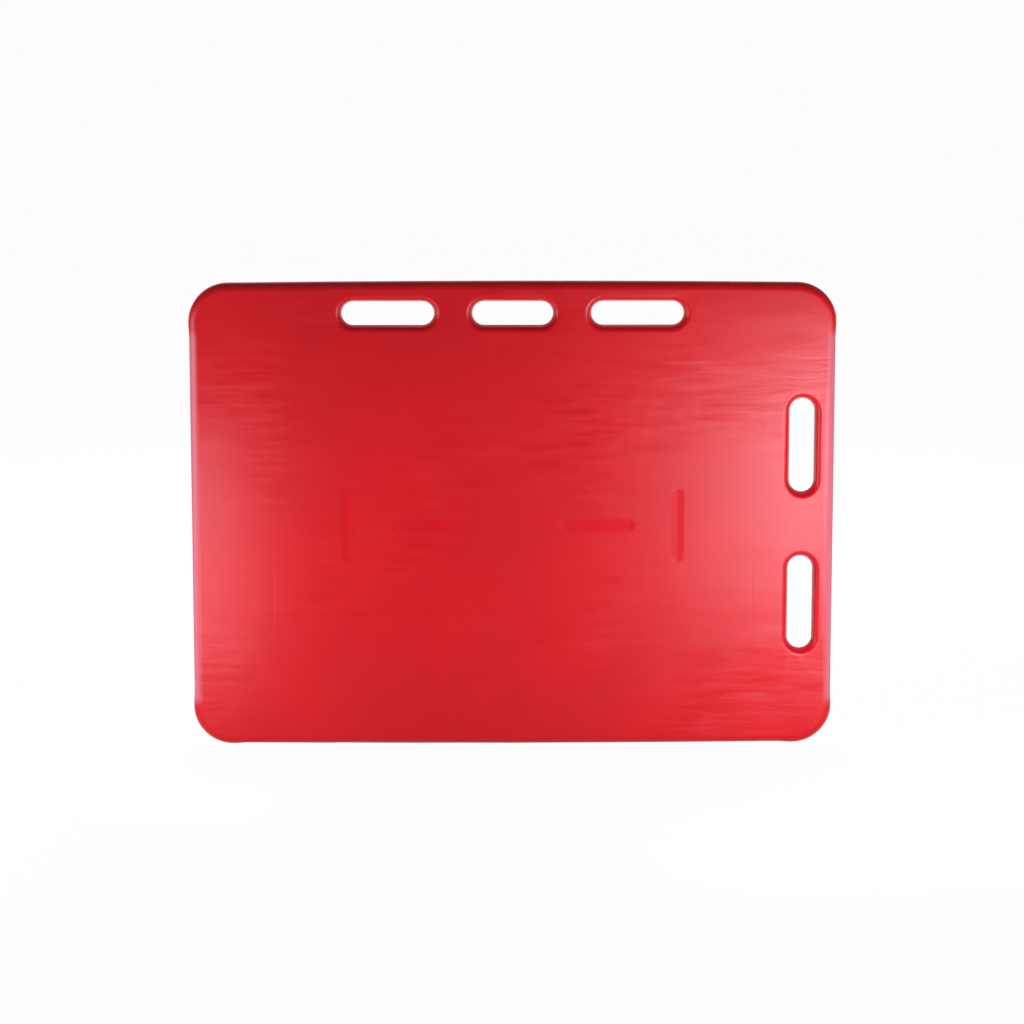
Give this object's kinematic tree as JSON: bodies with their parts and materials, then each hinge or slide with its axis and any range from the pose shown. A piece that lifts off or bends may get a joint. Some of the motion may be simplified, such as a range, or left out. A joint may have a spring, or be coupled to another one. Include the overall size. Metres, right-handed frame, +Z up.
{
  "type": "pig sorting board",
  "caption": "Flat hollow moulded panel with rounded corners and flared, slotted hand holes along its top and one side, carried to block and turn pigs.",
  "frame": {"origin": "foot of the board at the middle of its width, in the plane of the seam between the two skins", "axes": "+X along the width toward the side hand holes, +Y through the board from front to rear, +Z up"},
  "size_m": [1.0428, 0.0318, 0.762],
  "materials": {
    "front_shell": "red high-density polyethylene, low satin gloss, faint flow streaks from the mould",
    "rear_shell": "red high-density polyethylene, low satin gloss, faint flow streaks from the mould",
    "blow_hole_plug": "red polyethylene, moulded smooth"
  },
  "bodies": {
    "root": {"front_shell": "front_shell", "rear_shell": "rear_shell", "blow_hole_plug": "blow_hole_plug"}
  },
  "joints": []
}
